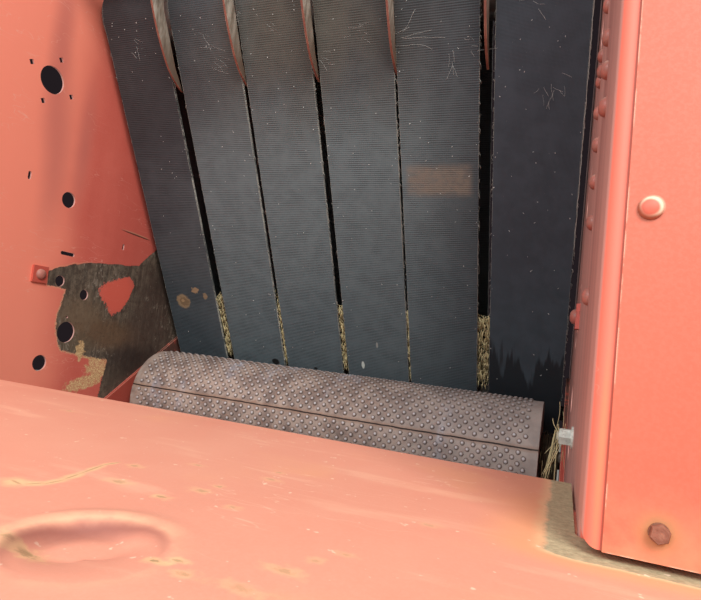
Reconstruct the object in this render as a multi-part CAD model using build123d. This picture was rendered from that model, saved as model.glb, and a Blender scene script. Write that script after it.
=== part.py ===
# Bale chamber section of a round baler: two folded side walls, flat belts round an upper and a lower
# roller, a drum under the belts, belt guides that hang from a tube over the upper roller, and the deck.
# Millimetres. X runs across the machine, Y runs from the deck into the machine and Z is up. The floor
# is Z = 0, and the origin is on the floor, midway between the walls and midway along the section.
from build123d import *
import math
import os

# Overall
chamber_width = 1208.0          # between the inner faces of the side walls
overall_length = 1730.0         # deck's near edge to the walls' rear edge

# Side walls, folded from sheet with every edge turned outward and the folds mitred at the corners
wall_t = 5.0
edge_flange = 70.0              # width of the turned edges, measured from the wall's inner face
bend_r = 10.0                   # outer radius of the folds
deck_overhang = 288.0           # deck's near edge to the face of the posts
post_top = 900.0                # the front edge is upright up to here
roof_ahead = 87.0               # and slopes back to this far in front of the guide tube's axis
roof_above = 171.6              # roof above the upper roller's axis
post_set_back = 37.0            # below the deck the front edge stands this much further back
rear_margin = 180.0             # from the belts' rear run to the wall's sloping rear edge
flange_hole_r = 7.0
rear_hole_z = (100.0, 480.0)
foot_hole_y = (-400.0, 700.0)

# Belts and rollers
belt_lean = 30.0                # from the vertical, top towards the deck
belt_side_gap = 25.0            # outer belts to the side walls, before the belts wander
belt_gap = 18.0                 # between two belts, before they wander
belt_t = 7.0
belt_seat = 0.3                 # play between belt and roller
belt_wander = (1.0, 11.0, 6.0, 6.0, -5.0, 8.0)    # how far each belt has run to the right
roller_r = 85.0
roller_wall = 6.0
roller_end_gap = 16.0           # roller's end to the side wall
roller_spacing = 1060.0
lower_roller_y = 670.5
lower_roller_z = 350.4

# Drum
drum_r = 130.0
drum_wall = 6.0
drum_end_gap = 54.0             # drum's end to the side wall
drum_ahead = 154.0              # drum's axis in front of the belts' face
drum_above = 38.0               # drum's axis above the lower roller's, along the belts
seam_w = 2.4                    # weld seam along the drum
seam_depth = 1.2
seam_rise = 15.0                # seam above the horizontal, on the side of the deck
seam_end = 20.0                 # seam's end to the drum's end
end_disc_t = 8.0                # discs that close the drum and the rollers

# Shafts and flange bearings
shaft_r = 20.0
running_play = 0.05             # radial, between shaft and bearing
weld_gap = 0.1                  # radial, between pieces welded together
shaft_end = 6.0                 # shaft beyond the bearing, up to the shoulder on the drive side
drive_r = 17.5                  # stepped-down drive end
drive_end = 80.0
key_w = 10.0
key_depth = 5.0
key_turn = 45.0                 # keyway round the shaft from the top, towards the rear
key_margin = 20.0               # shaft left whole behind the keyway
bearing_side = 108.0
bearing_corner = 16.0           # bevel on the flange's corners
bearing_t = 12.0
boss_r = 37.0
boss_h = 26.0
bolt_spacing = 85.0
wall_bore_r = 32.5
square_hole = 11.0              # for square-necked bolts

# Deck
deck_t = 4.0
deck_top = 365.0
deck_bend_r = 8.0
deck_near_fold = 60.0
deck_far_fold = 25.0
deck_far_y = -349.0
deck_wall_gap = 2.0
deck_step_gap = 5.0             # deck to the lower front edge of the walls
post_foot_gap = 5.0             # posts and panels stand this far above the deck
beam_depth = 60.0
beam_height = 50.0
beam_set_in = 20.0              # beam behind the walls' lower front edge
bracket_t = 6.0
bracket_shelf = 40.0
bracket_drop = 180.0
bracket_nose = 26.0
bracket_short = 25.0            # bracket's tip behind the deck's near edge

# Front panels over the posts
panel_t = 3.0
panel_set_out = 12.0            # strip of the post left bare beside the panel
panel_width = 138.0
panel_return = 80.0
panel_bend_r = 6.0

# Belt guides
guide_t = 5.0
guide_clear = 7.0               # guide to the upper roller, in the gap between two belts
guide_hug = 50.0                # how far the guide follows the roller above its axis, in degrees
guide_back_drop = 120.0         # its back edge is straight down to here below the upper roller's axis
guide_back_top = 10.0           # top of its back edge behind the belts' face
guide_tube_r = 30.0
guide_tube_wall = 4.0
guide_tube_ahead = 50.0         # tube's axis in front of the belts' face
guide_tube_up = 160.0           # and above the upper roller's axis, along the belts
guide_front = (
    # in front of the belts' face, above the upper roller's axis along the belts
    (37.0, 32.0),
    (36.0, -50.0),
    (29.0, -99.0),
    (15.0, -141.0),
    (-12.0, -178.0),
)

# Cross tubes, ribs and small plates
tube_side = 60.0
tube_wall = 4.0
tube_set_in = 60.0
top_tube_behind = 180.0         # behind the upper roller's axis
top_tube_drop = 50.0
rib_w = 40.0
rib_h = 30.0
rib_t = 3.0
rib_foot = 15.0
rib_slope = 6.0                 # how far each side of a rib leans in
level_rib_start = 26.0          # behind the wall's lower front edge
level_rib_z = 200.0
level_rib_rear_y = 350.0
upright_rib_y = 555.0
upright_rib_z = (40.0, 980.0)
end_plate_t = 9.0
end_plate_length = 420.0
end_plate_width = 172.0
end_plate_lean = 34.0
stop_side = 40.0
stop_t = 6.0
stop_y, stop_z = 5.0, 560.0

# Openings punched through each wall, besides those for the bearings
spare_bore_y, spare_bore_z = -38.0, 1025.0
round_holes = (
    # y, z, radius
    (57.0, 757.0, 20.0),
    (67.0, 552.0, 14.0),
    (147.0, 526.0, 14.0),
    (107.0, 425.0, 27.0),
    (104.0, 464.0, 3.5),
    (43.0, 346.0, 19.5),
)
slots = (
    # y, z, length, width, angle from level
    (-58.0, 784.0, 20.0, 9.0, 90.0),
    (78.0, 623.0, 43.0, 9.0, 0.0),
    (260.0, 677.0, 18.0, 8.0, 90.0),
)

# Worked out from the sizes above
half_w = chamber_width / 2
wall_out = half_w + wall_t
flange_x = half_w + edge_flange / 2
near_y = -overall_length / 2
rear_y = overall_length / 2
deck_half = half_w + panel_set_out + panel_width
post_y = near_y + deck_overhang
low_front_y = post_y + post_set_back
post_foot_z = deck_top + post_foot_gap
sin_b = math.sin(math.radians(belt_lean))
cos_b = math.cos(math.radians(belt_lean))
upper_roller_y = lower_roller_y - roller_spacing * sin_b
upper_roller_z = lower_roller_z + roller_spacing * cos_b
wall_top = upper_roller_z + roof_above
belt_in_r = roller_r + belt_seat
belt_out_r = belt_in_r + belt_t
bearing_out = wall_out + bearing_t + boss_h
roller_half = half_w - roller_end_gap
drum_half = half_w - drum_end_gap
notch_r = bend_r + deck_step_gap    # the deck's inner corners follow the folds of the posts


def in_belts(y, z):
    """World Y and Z of a point given from the upper roller's axis, square to the belts and along them."""
    return upper_roller_y + y * cos_b - z * sin_b, upper_roller_z + y * sin_b + z * cos_b


shafts = {
    "upper_roller": in_belts(0, 0),
    "lower_roller": in_belts(0, -roller_spacing),
    "drum": in_belts(-belt_out_r - drum_ahead, drum_above - roller_spacing),
}
drum_y, drum_z = shafts["drum"]
guide_tube_y, guide_tube_z = in_belts(-belt_out_r - guide_tube_ahead, guide_tube_up)
roof_front_y = guide_tube_y - roof_ahead
belts = len(belt_wander)
belt_width = (chamber_width - 2 * belt_side_gap - (belts - 1) * belt_gap) / belts
belt_pitch = belt_width + belt_gap
belt_x = [(i - (belts - 1) / 2) * belt_pitch + off for i, off in enumerate(belt_wander)]
guide_x = [(a + b) / 2 for a, b in zip(belt_x, belt_x[1:])]


def box(x0, x1, y0, y1, z0, z1):
    return Pos((x0 + x1) / 2, (y0 + y1) / 2, (z0 + z1) / 2) * Box(abs(x1 - x0), abs(y1 - y0), abs(z1 - z0))


def rod_x(radius, x0, x1, y, z):
    return Pos((x0 + x1) / 2, y, z) * Rot(0, 90, 0) * Cylinder(radius, abs(x1 - x0))


def across(section, x0, x1):
    """Extrudes a section drawn in Y and Z along X."""
    return extrude(Plane(origin=(x0, 0, 0), x_dir=(0, 1, 0), z_dir=(1, 0, 0)) * section, amount=x1 - x0)


def bent_sheet(points, radius, thickness):
    """Section of a folded sheet, whose thickness lies to the left of the path through the points."""
    with BuildSketch() as section:
        with BuildLine():
            FilletPolyline(*points, radius=radius)
            offset(amount=thickness, side=Side.LEFT)
        make_face()
    return section.sketch


def both_sides(name, right_piece):
    keep(right_piece, f"right_{name}")
    keep(mirror(right_piece, Plane.YZ), f"left_{name}")


def keep(shape, name):
    """Writes one piece, whose file name is its node name."""
    solids = shape.solids()
    made = solids[0] if len(solids) == 1 else Compound(children=list(solids))
    export_step(made, f"parts/{name}.step")


def leaning_plane(y, z, x):
    """Plane parallel to the walls, turned with the belts' lean, as the bearings' bolts are."""
    return Plane(origin=(x, y, z), x_dir=(0, cos_b, sin_b), z_dir=(1, 0, 0))


def bolt_places():
    return GridLocations(bolt_spacing, bolt_spacing, 2, 2)


def bearing_holes():
    """What is punched for a bearing to come: the bore for its shaft and four square holes for its bolts."""
    return Circle(wall_bore_r) + bolt_places() * Rectangle(square_hole, square_hole)


def wall_outline():
    """Outline in Y and Z: upright post, sloping front and rear, and a step back under the deck."""
    rear_line = belt_out_r + rear_margin
    roof_along = (wall_top - upper_roller_z - rear_line * sin_b) / cos_b
    roof_rear_y = upper_roller_y + rear_line * cos_b - roof_along * sin_b
    rear_along = (upper_roller_y + rear_line * cos_b - rear_y) / sin_b
    rear_top_z = upper_roller_z + rear_line * sin_b + rear_along * cos_b
    return make_face(Polyline((low_front_y, 0), (low_front_y, post_foot_z), (post_y, post_foot_z),
                              (post_y, post_top), (roof_front_y, wall_top), (roof_rear_y, wall_top),
                              (rear_y, rear_top_z), (rear_y, 0), close=True))


def right_side_wall():
    outline = wall_outline()
    wall = across(outline, half_w, half_w + edge_flange)
    inner_edges = wall.faces().sort_by(Axis.X)[0].edges()
    wall = fillet(inner_edges, bend_r)
    inner = offset(outline, -wall_t, kind=Kind.INTERSECTION)
    pocket = across(inner, wall_out, half_w + edge_flange + 1)
    pocket = fillet(pocket.faces().sort_by(Axis.X)[0].edges(), bend_r - wall_t)
    wall -= pocket
    for y, z, radius in round_holes:
        wall -= rod_x(radius, half_w - 1, wall_out + 1, y, z)
    for y, z, length, width, angle in slots:
        wall -= across(Pos(y, z) * Rot(0, 0, angle) * SlotOverall(length, width), half_w - 1, wall_out + 1)
    wall -= extrude(leaning_plane(spare_bore_y, spare_bore_z, half_w - 1) * bearing_holes(), amount=wall_t + 2)
    for y, z in shafts.values():
        wall -= rod_x(wall_bore_r, half_w - 1, wall_out + 1, y, z)
    for z in rear_hole_z:
        wall -= Pos(flange_x, rear_y, z) * Rot(90, 0, 0) * Cylinder(flange_hole_r, 3 * wall_t)
    for y in foot_hole_y:
        wall -= Pos(flange_x, y, 0) * Cylinder(flange_hole_r, 3 * wall_t)
    return wall


def rib_section():
    """Hat section, drawn with its feet on the wall."""
    half = rib_w / 2
    crown = half - rib_slope
    right = [(half, 0), (half + rib_foot, 0), (half + rib_foot, rib_t), (half + rib_t, rib_t), (crown, rib_h)]
    inside = [(rib_t - crown, rib_h - rib_t), (crown - rib_t, rib_h - rib_t)]
    left = [(-x, y) for x, y in reversed(right)]
    return make_face(Polyline(*right, *left, *inside, close=True))


def right_level_rib():
    start = low_front_y + level_rib_start
    lie = Plane(origin=(wall_out, start, level_rib_z), x_dir=(0, 0, 1), z_dir=(0, 1, 0))
    return extrude(lie * rib_section(), amount=level_rib_rear_y - start)


def right_upright_rib():
    stand = Plane(origin=(wall_out, upright_rib_y, upright_rib_z[0]), x_dir=(0, -1, 0), z_dir=(0, 0, 1))
    section = stand * rib_section()
    return extrude(section, amount=upright_rib_z[1] - upright_rib_z[0])


def right_front_panel():
    x0 = half_w + panel_set_out
    x1 = x0 + panel_width
    front = post_y - panel_t
    section = bent_sheet([(x0, front), (x1, front), (x1, front + panel_return)], panel_bend_r, panel_t)
    return Pos(0, 0, post_foot_z) * extrude(section, amount=post_top - bend_r - post_foot_z)


def right_drum_end_plate():
    """Plate on the wall's inner face round the drum's shaft."""
    lie = Plane(origin=(half_w - end_plate_t, drum_y, drum_z), z_dir=(1, 0, 0),
                x_dir=(0, math.cos(math.radians(end_plate_lean)), math.sin(math.radians(end_plate_lean))))
    plate = extrude(lie * Rectangle(end_plate_length, end_plate_width), amount=end_plate_t)
    return plate - rod_x(wall_bore_r, half_w - end_plate_t - 1, half_w + 1, drum_y, drum_z)


def right_stop_plate():
    return box(half_w - stop_t, half_w, stop_y - stop_side / 2, stop_y + stop_side / 2,
               stop_z - stop_side / 2, stop_z + stop_side / 2)


def right_bearing(y, z):
    """Flange bearing on the wall's outer face."""
    lie = leaning_plane(y, z, wall_out)
    outline = Rectangle(bearing_side, bearing_side)
    flange = extrude(chamfer(outline.vertices(), bearing_corner), amount=bearing_t)
    on_base = (Align.CENTER, Align.CENTER, Align.MIN)
    boss = Pos(0, 0, bearing_t) * Cylinder(boss_r, boss_h, align=on_base)
    return lie.location * (flange + boss - Cylinder(shaft_r + running_play, 4 * (bearing_t + boss_h)))


def shaft(y, z, drive_side):
    """Shaft through both bearings. drive_side is 1 or -1 for a stepped, keyed end on that side, or 0."""
    end = bearing_out + shaft_end
    made = rod_x(shaft_r, -end, end, y, z)
    if drive_side:
        tip = drive_side * (end + drive_end)
        made += rod_x(drive_r, drive_side * end, tip, y, z)
        groove = box(tip, drive_side * (end + key_margin), -key_w / 2, key_w / 2, drive_r - key_depth, drive_r + 1)
        made -= Pos(0, y, z) * Rot(-key_turn, 0, 0) * groove
    return made


def roller(radius, wall, half, y, z):
    """Tube closed at each end by a disc that is bored for its shaft."""
    body = rod_x(radius, -half, half, y, z) - rod_x(radius - wall, -half, half, y, z)
    for s in (-1, 1):
        x0, x1 = s * half, s * (half - end_disc_t)
        body += rod_x(radius - wall / 2, x0, x1, y, z) - rod_x(shaft_r + weld_gap, x0, x1, y, z)
    return body


def drum_shell():
    groove = box(-drum_half + seam_end, drum_half - seam_end, -drum_r - 1, -drum_r + seam_depth,
                 -seam_w / 2, seam_w / 2)
    seam = Pos(0, drum_y, drum_z) * Rot(-seam_rise, 0, 0) * groove
    return roller(drum_r, drum_wall, drum_half, drum_y, drum_z) - seam


def belt(x):
    """Closed loop of even thickness round both rollers."""
    def loop(radius):
        return Pos(0, -roller_spacing / 2) * Rot(0, 0, 90) * SlotCenterToCenter(roller_spacing, 2 * radius)
    place = leaning_plane(upper_roller_y, upper_roller_z, x - belt_width / 2)
    return extrude(place * (loop(belt_out_r) - loop(belt_in_r)), amount=belt_width)


def belt_guide(x):
    """Plate that bows out in front of the belts and ends in a point between two of them."""
    clear_r = roller_r + guide_clear
    front = -belt_out_r
    edge = [(front - ahead, up) for ahead, up in guide_front]
    with BuildSketch() as section:
        with BuildLine():
            l1 = Line((front - guide_tube_ahead + guide_tube_r, guide_tube_up), edge[0])
            a1 = ThreePointArc(*edge[:3])
            a2 = ThreePointArc(*edge[2:])
            l2 = Line(a2 @ 1, (-clear_r, -guide_back_drop))
            l3 = Line(l2 @ 1, (-clear_r, 0))
            turn = math.radians(guide_hug)
            top = (-clear_r * math.cos(turn), clear_r * math.sin(turn))
            a3 = ThreePointArc(l3 @ 1, (-clear_r * math.cos(turn / 2), clear_r * math.sin(turn / 2)), top)
            l4 = Line(a3 @ 1, (front + guide_back_top, guide_tube_up))
            Line(l4 @ 1, l1 @ 0)
        make_face()
        with Locations((front - guide_tube_ahead, guide_tube_up)):
            Circle(guide_tube_r + weld_gap, mode=Mode.SUBTRACT)
    place = leaning_plane(upper_roller_y, upper_roller_z, x - guide_t / 2)
    return extrude(place * section.sketch, amount=guide_t)


def guide_tube():
    bore_r = guide_tube_r - guide_tube_wall
    tube = rod_x(guide_tube_r, -half_w, half_w, guide_tube_y, guide_tube_z)
    return tube - rod_x(bore_r, -half_w, half_w, guide_tube_y, guide_tube_z)


def front_deck():
    """Folded sheet, narrow between the walls and wide in front of the posts."""
    section = bent_sheet([(deck_far_y, deck_top - deck_far_fold), (deck_far_y, deck_top), (near_y, deck_top),
                          (near_y, deck_top - deck_near_fold)], deck_bend_r, deck_t)
    sheet = across(section, -deck_half, deck_half)
    inner = half_w - deck_wall_gap
    step = low_front_y - deck_step_gap
    for s in (-1, 1):
        notch = box(s * inner, s * (deck_half + 1), step, 0, 0, deck_top + 1)
        corner = notch.edges().filter_by(Axis.Z).sort_by_distance((s * inner, step, deck_top / 2))[0]
        sheet -= fillet(corner, notch_r)
    return sheet


def cross_tube(depth, height, y, z):
    """Rectangular tube from wall to wall."""
    bore = Box(chamber_width, depth - 2 * tube_wall, height - 2 * tube_wall)
    return Pos(0, y, z) * (Box(chamber_width, depth, height) - bore)


def right_deck_bracket():
    """Triangular web on the wall's lower front edge, with a shelf under the deck."""
    top = deck_top - deck_t
    tip = near_y + bracket_short
    x0 = flange_x - bracket_t / 2
    web = across(make_face(Polyline((low_front_y, top), (tip, top), (tip, top - bracket_nose),
                                    (low_front_y, top - bracket_drop), close=True)), x0, x0 + bracket_t)
    return web + box(x0, x0 + bracket_shelf, tip, low_front_y, top - bracket_t, top)


def build():
    os.makedirs("parts", exist_ok=True)
    both_sides("side_wall", right_side_wall())
    both_sides("level_rib", right_level_rib())
    both_sides("upright_rib", right_upright_rib())
    both_sides("front_panel", right_front_panel())
    both_sides("drum_end_plate", right_drum_end_plate())
    both_sides("stop_plate", right_stop_plate())
    both_sides("deck_bracket", right_deck_bracket())
    keep(front_deck(), "front_deck")
    beam_y = low_front_y + beam_set_in + beam_depth / 2
    beam_z = deck_top - deck_t - beam_height / 2
    keep(cross_tube(beam_depth, beam_height, beam_y, beam_z), "deck_beam")
    tubes = {
        "front_cross_tube": (low_front_y + tube_set_in, tube_set_in),
        "rear_cross_tube": (rear_y - tube_set_in, tube_set_in),
        "top_cross_tube": (upper_roller_y + top_tube_behind, wall_top - top_tube_drop),
    }
    for name, (y, z) in tubes.items():
        keep(cross_tube(tube_side, tube_side, y, z), name)
    keep(guide_tube(), "guide_tube")
    for i, x in enumerate(guide_x):
        keep(belt_guide(x), f"belt_guide_{i + 1}")
    for i, x in enumerate(belt_x):
        keep(belt(x), f"belt_{i + 1}")
    for name, (y, z) in shafts.items():
        both_sides(f"{name}_bearing", right_bearing(y, z))
    for name in ("upper_roller", "lower_roller"):
        keep(roller(roller_r, roller_wall, roller_half, *shafts[name]), name)
    keep(drum_shell(), "drum_shell")
    keep(shaft(*shafts["upper_roller"], -1), "upper_roller_shaft")
    keep(shaft(*shafts["lower_roller"], 0), "lower_roller_shaft")
    keep(shaft(*shafts["drum"], 1), "drum_shaft")


build()
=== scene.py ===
# %% [markdown]
# # The bale chamber of a round baler
# A round baler rolls hay into a bale between wide rubber belts. This lesson dresses one section of such
# a machine: two folded side walls, six belts on their rollers, a studded drum and the deck in front.
# The shapes come from a CAD model. What is made here is what a CAD model leaves out: faded paint,
# worn steel, dirt, studs, bolts, weld beads, loose threads and hay.

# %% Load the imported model
import math
import random
from random import uniform

import bmesh
import bpy
from mathutils import Matrix, Vector


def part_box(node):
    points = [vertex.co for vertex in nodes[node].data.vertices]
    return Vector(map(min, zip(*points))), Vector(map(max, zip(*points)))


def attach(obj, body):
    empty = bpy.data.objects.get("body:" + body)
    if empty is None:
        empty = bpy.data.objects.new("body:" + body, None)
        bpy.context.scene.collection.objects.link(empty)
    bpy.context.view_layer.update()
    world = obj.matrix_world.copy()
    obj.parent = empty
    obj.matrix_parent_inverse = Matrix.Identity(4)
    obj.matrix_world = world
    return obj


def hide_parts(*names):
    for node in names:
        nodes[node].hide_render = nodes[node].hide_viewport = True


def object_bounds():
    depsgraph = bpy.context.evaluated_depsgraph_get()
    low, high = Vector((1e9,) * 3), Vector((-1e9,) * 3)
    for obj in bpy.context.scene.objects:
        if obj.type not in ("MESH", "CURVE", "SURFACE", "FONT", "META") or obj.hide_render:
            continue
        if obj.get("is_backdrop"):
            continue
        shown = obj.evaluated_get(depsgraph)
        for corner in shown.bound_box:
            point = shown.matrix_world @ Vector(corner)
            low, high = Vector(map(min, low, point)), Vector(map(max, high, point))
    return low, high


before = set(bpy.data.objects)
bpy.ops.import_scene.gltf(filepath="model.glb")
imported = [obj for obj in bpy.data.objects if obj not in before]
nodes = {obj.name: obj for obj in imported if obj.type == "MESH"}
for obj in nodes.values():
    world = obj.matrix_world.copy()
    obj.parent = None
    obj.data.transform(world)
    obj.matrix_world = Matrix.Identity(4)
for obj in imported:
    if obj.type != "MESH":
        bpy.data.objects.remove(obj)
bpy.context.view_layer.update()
random.seed(7)


# %% Helper for new objects
def into_scene(name, data):
    """Puts a new object with this data into the scene."""
    made = bpy.data.objects.new(name, data)
    bpy.context.scene.collection.objects.link(made)
    return made


# %% [markdown]
# ## The camera
# The camera looks over the deck into the chamber, from a little left of the right wall. Its place and
# its three directions were worked out from the straight edges of the walls, the deck and the belts. A
# matrix of these directions is more exact than turning the camera by hand.

# %% Place the camera
camera_place = Vector((0.586, -0.965, 0.480))
camera_right = Vector((0.92818, 0.35567, 0.10948))
camera_up = Vector((-0.07505, -0.10926, 0.99118))
camera_back = camera_right.cross(camera_up)
focal_pixels = 556.08
frame_pixels = 701

camera_data = bpy.data.cameras.new("chamber_camera")
camera_data.sensor_width = 36.0
camera_data.lens = focal_pixels / frame_pixels * camera_data.sensor_width
camera_data.clip_start = 0.02
camera = into_scene("chamber_camera", camera_data)
turned = Matrix((camera_right, camera_up, camera_back)).transposed().to_4x4()
camera.matrix_world = Matrix.Translation(camera_place) @ turned
bpy.context.scene.camera = camera
print("lens", round(camera_data.lens, 2), "mm")

# %% [markdown]
# ## Placing shader nodes
# Every finish here is a small network of shader nodes. Placing them one by one fills many lines, so a few
# helpers do it, always in the network that was started last. `put` adds a node, fills its sockets and
# returns one of its outputs as a `Value`. Values take plain arithmetic: `a * 0.5 + b` places a node that
# multiplies and one that adds. `ramp` turns a value into a mask, and a `Coat` takes marks on its colour.


# %% Helpers for shader nodes
class Value:
    """Output of a node. Arithmetic with it places math nodes."""

    def __init__(self, socket):
        self.socket = socket

    def __add__(self, other):
        return calc("ADD", self, other)

    def __sub__(self, other):
        return calc("SUBTRACT", self, other)

    def __rsub__(self, other):
        return calc("SUBTRACT", other, self)

    def __mul__(self, other):
        return calc("MULTIPLY", self, other)

    def __abs__(self):
        return calc("ABSOLUTE", self)


def start_tree(started):
    """Empties a network of nodes. From here on, new nodes are added to it."""
    global tree, place
    tree = started
    tree.nodes.clear()
    place = None


def fill(socket, value):
    """Links a node's output to the socket, or sets the socket's number or colour."""
    if isinstance(value, Value):
        tree.links.new(value.socket, socket)
    else:
        socket.default_value = value


def add(kind, sockets=None, **settings):
    """Adds a node and fills its sockets."""
    made = tree.nodes.new("ShaderNode" + kind)
    for name, value in settings.items():
        setattr(made, name, value)
    for name, value in (sockets or {}).items():
        fill(made.inputs[name], value)
    return made


def put(kind, sockets=None, output=0, **settings):
    """Adds a node and returns one of its outputs."""
    return Value(add(kind, sockets, **settings).outputs[output])


def outputs_of(made):
    """All outputs of a node, by name."""
    return {socket.name: Value(socket) for socket in made.outputs}


def calc(operation, *values, clamp=False):
    return put("Math", dict(enumerate(values)), operation=operation, use_clamp=clamp)


def move(operation, *values):
    """Vector arithmetic, for changing where a pattern lies."""
    return put("VectorMath", dict(enumerate(values)), operation=operation)


def measure(operation, *values):
    """Vector arithmetic whose result is a number: a length or a dot product."""
    return put("VectorMath", dict(enumerate(values)), "Value", operation=operation)


def mix(factor, first, second):
    return put("Mix", {0: factor, 6: first, 7: second}, 2, data_type="RGBA")


def choose(switch, first, second):
    return put("Mix", {0: switch, 2: first, 3: second}, data_type="FLOAT")


def ramp(value, low, high, start=0.0, end=1.0):
    """Runs smoothly from start to end while the value goes from low to high."""
    sockets = dict(enumerate((value, low, high, start, end)))
    return put("MapRange", sockets, interpolation_type="SMOOTHSTEP")


def place_of():
    """The point's place in metres. It stays with the surface when a body turns."""
    global place
    if place is None:
        place = put("TexCoord", output="Object")
    return place


def part_of(vector, axis):
    return put("SeparateXYZ", {0: vector}, axis)


def at(axis):
    """The point's place along one axis."""
    return part_of(place_of(), axis)


def facing(axis):
    """How far the face points along an axis, from -1 to 1."""
    return part_of(put("TexCoord", output="Normal"), axis)


def noise(scale, detail=3.0, roughness=0.55, position=None):
    sockets = {"Vector": position or place_of(), "Scale": scale, "Detail": detail, "Roughness": roughness}
    return put("TexNoise", sockets)


def stretched_noise(stretch, detail=3.0, roughness=0.55):
    """Noise drawn out: the larger a number of the stretch, the finer the noise along that axis."""
    return noise(1.0, detail, roughness, move("MULTIPLY", place_of(), stretch))


def rgb(red, green, blue):
    """A colour as a paint chart gives it, 0 to 255, in the linear values that Blender works with."""
    def linear(level):
        level = level / 255
        return level / 12.92 if level <= 0.04045 else ((level + 0.055) / 1.055) ** 2.4
    return (linear(red), linear(green), linear(blue), 1.0)


def new_group(name, inputs, outputs=(("Mask", "Float"),)):
    """Starts a node group. Returns it with its inputs and with the sockets that take its results."""
    group = bpy.data.node_groups.new(name, "ShaderNodeTree")
    start_tree(group)
    for label, kind, value in inputs:
        socket = tree.interface.new_socket(label, in_out="INPUT", socket_type="NodeSocket" + kind)
        socket.default_value = value
    for label, kind in outputs:
        tree.interface.new_socket(label, in_out="OUTPUT", socket_type="NodeSocket" + kind)
    return group, outputs_of(tree.nodes.new("NodeGroupInput")), tree.nodes.new("NodeGroupOutput").inputs


def use(group, **sockets):
    """Places a node group."""
    made = tree.nodes.new("ShaderNodeGroup")
    made.node_tree = group
    for name, value in sockets.items():
        fill(made.inputs[name], value)
    return outputs_of(made)


def mask(group, **sockets):
    """Places a node group that puts out one mask."""
    return use(group, **sockets)["Mask"]


def new_material(name, **sockets):
    """Starts a material with one Principled shader. An underscore in a name stands for a space."""
    global shader
    material = bpy.data.materials.new(name)
    material.use_nodes = True
    start_tree(material.node_tree)
    shader = add("BsdfPrincipled", {key.replace("_", " "): value for key, value in sockets.items()})
    add("OutputMaterial", {0: Value(shader.outputs[0])})
    return material


class Coat:
    """Colour, roughness and height of a surface. Marks are laid on its colour, one over the other."""

    def __init__(self, colour, roughness=0.5, height=None):
        self.colour = colour
        self.roughness = roughness
        self.height = height

    def lay(self, where, tone):
        self.colour = mix(where, self.colour, tone)

    def wear(self, width, patchy, strength, tone):
        """Lays a tone on the edges: how wide, how patchily (0 to 1) and how strongly."""
        self.lay(mask(edge_wear, Width=width, Patchy=patchy) * strength, tone)

    def finish(self, distance=0.0004, strength=1.0, metallic=0.0):
        """Feeds the surface into the shader of the last material. The distance scales its height."""
        fill(shader.inputs["Base Color"], self.colour)
        fill(shader.inputs["Metallic"], metallic)
        fill(shader.inputs["Roughness"], self.roughness)
        if self.height:
            bump = put("Bump", {"Height": self.height, "Distance": distance, "Strength": strength})
            fill(shader.inputs["Normal"], bump)


def dress(material, *names):
    """Gives the CAD nodes of these names the material."""
    for name in names:
        slots = nodes[name].data.materials
        if slots:
            for i in range(len(slots)):
                slots[i] = material
        else:
            slots.append(material)


# %% [markdown]
# ## Shared effects: faded paint, soft spots, edge wear, dust and scratches
# Red farm paint fades to salmon in the sun, unevenly, with streaks where rain ran down. Dust settles on
# what faces up, and edges wear bright. More than one material shows each of these, so each is a node
# group with its own named sockets, built once here and tuned wherever it is placed.

# %% Node group: sun-faded paint
faded_paint, given, result = new_group(
    "sun_faded_paint",
    [("Fresh", "Color", rgb(196, 62, 46)), ("Faded", "Color", rgb(240, 150, 126)),
     ("Fading", "Float", 0.5), ("Unevenness", "Float", 0.5), ("Streaks", "Float", 0.3)],
    [("Color", "Color"), ("Roughness", "Float"), ("Height", "Float")])
cloud = noise(2.2, 4.0)
patches = noise(15.0, 5.0, 0.6)
run_marks = stretched_noise((16.0, 16.0, 1.3), 4.0)
grain = noise(420.0, 2.0)
spread = cloud * 0.9 + patches * 0.45
uneven = (spread - 0.675) * given["Unevenness"]
streaky = (run_marks - 0.5) * given["Streaks"]
amount = calc("ADD", given["Fading"], uneven + streaky, clamp=True)
chalky = mix(amount, given["Fresh"], given["Faded"])
speckled = mix(ramp(grain, 0.35, 0.7, 0.0, 0.03), chalky, rgb(255, 226, 206))
fill(result["Color"], speckled)
fill(result["Roughness"], ramp(amount, 0.0, 1.0, 0.38, 0.6))
fill(result["Height"], grain * 0.18)

# %% Node group: a soft spot round a point
soft_spot, given, result = new_group(
    "soft_spot",
    [("Center", "Vector", (0.0, 0.0, 0.0)), ("Reach", "Vector", (0.02, 0.02, 0.02)),
     ("Turn", "Vector", (0.0, 0.0, 0.0)), ("Ragged", "Float", 0.2), ("Grain", "Float", 60.0),
     ("Blur", "Float", 0.2)])
around = move("SUBTRACT", place_of(), given["Center"])
swung = put("VectorRotate", {"Vector": around, "Rotation": given["Turn"]}, rotation_type="EULER_XYZ",
            invert=True)
scaled = move("DIVIDE", swung, given["Reach"])
away = measure("LENGTH", scaled)
ragged = (noise(given["Grain"], 4.0) - 0.5) * given["Ragged"]
outer = calc("MULTIPLY_ADD", given["Blur"], 0.75, 1.0)
inner = calc("MULTIPLY_ADD", given["Blur"], -1.25, 1.0)
fill(result["Mask"], ramp(away + ragged, outer, inner))

# %% Node group: wear along edges
edge_wear, given, result = new_group(
    "edge_wear", [("Width", "Float", 0.003), ("Patchy", "Float", 0.5)])
rounded = put("Bevel", {"Radius": given["Width"]}, samples=6)
flat = put("NewGeometry", output="Normal")
together = measure("DOT_PRODUCT", rounded, flat)
edge = ramp(together, 0.995, 0.85)
gate = ramp(noise(38.0, 5.0, 0.65), given["Patchy"], given["Patchy"] + 0.12)
fill(result["Mask"], edge * gate)

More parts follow.
